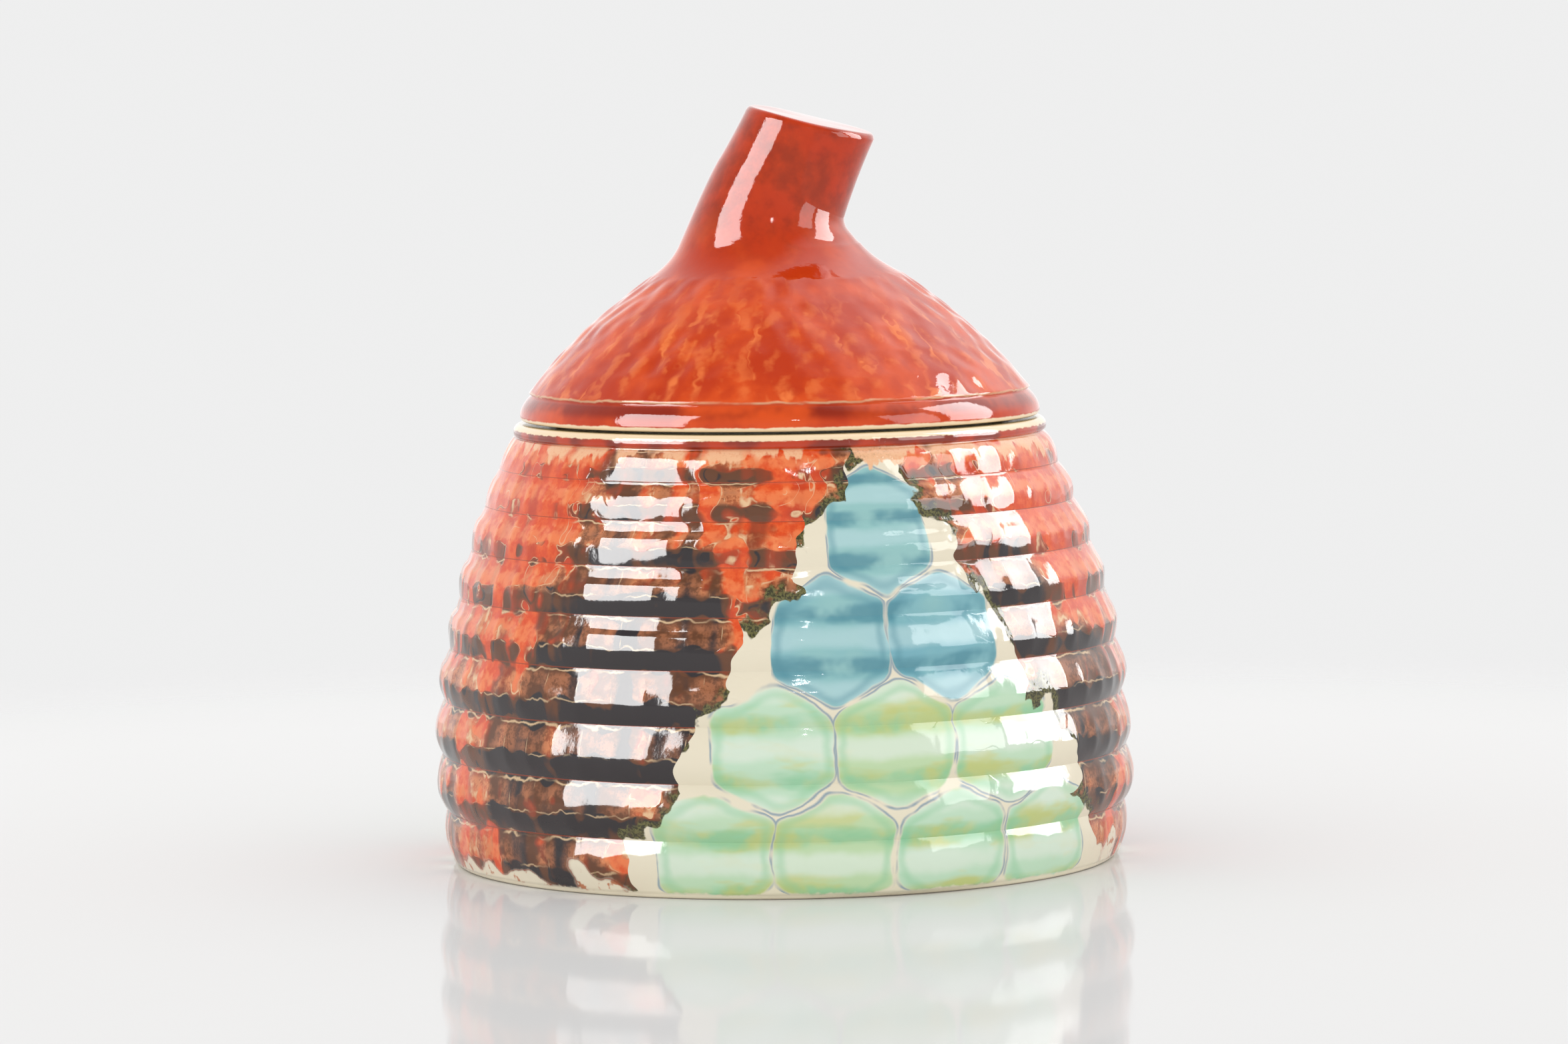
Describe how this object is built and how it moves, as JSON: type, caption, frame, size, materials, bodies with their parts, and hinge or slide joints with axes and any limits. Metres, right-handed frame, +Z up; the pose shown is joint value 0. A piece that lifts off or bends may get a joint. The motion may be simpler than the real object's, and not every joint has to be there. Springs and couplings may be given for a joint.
{
  "type": "beehive honey pot",
  "caption": "Lidded table pot shaped like a coiled straw skep: a ribbed glazed pot with a wide mouth, and a loose domed lid with a locating flange and a bent stalk as its knob.",
  "frame": {"origin": "centre of the foot ring, on the surface that the pot stands on", "axes": "+Z up along the pot's axis, -Y towards the viewer of the pictured front, +X towards the side that the stalk leans to"},
  "size_m": [0.0874, 0.0874, 0.0941],
  "materials": {
    "pot_glaze": "glossy runny glaze in orange-red and dark brown over a painted mint-green foot, breaking to cream on the ribs",
    "lid_glaze": "glossy orange-red glaze, thinner and lighter on raised edges, cream at the rim"
  },
  "bodies": {
    "pot_body": {"pot": "pot_glaze"},
    "lid_body": {"lid": "lid_glaze"}
  },
  "joints": [
    {"name": "lid_lift", "type": "slide", "parent": "pot_body", "child": "lid_body", "axis": [0, 0, 1], "range_m": [0, 0.06]}
  ]
}
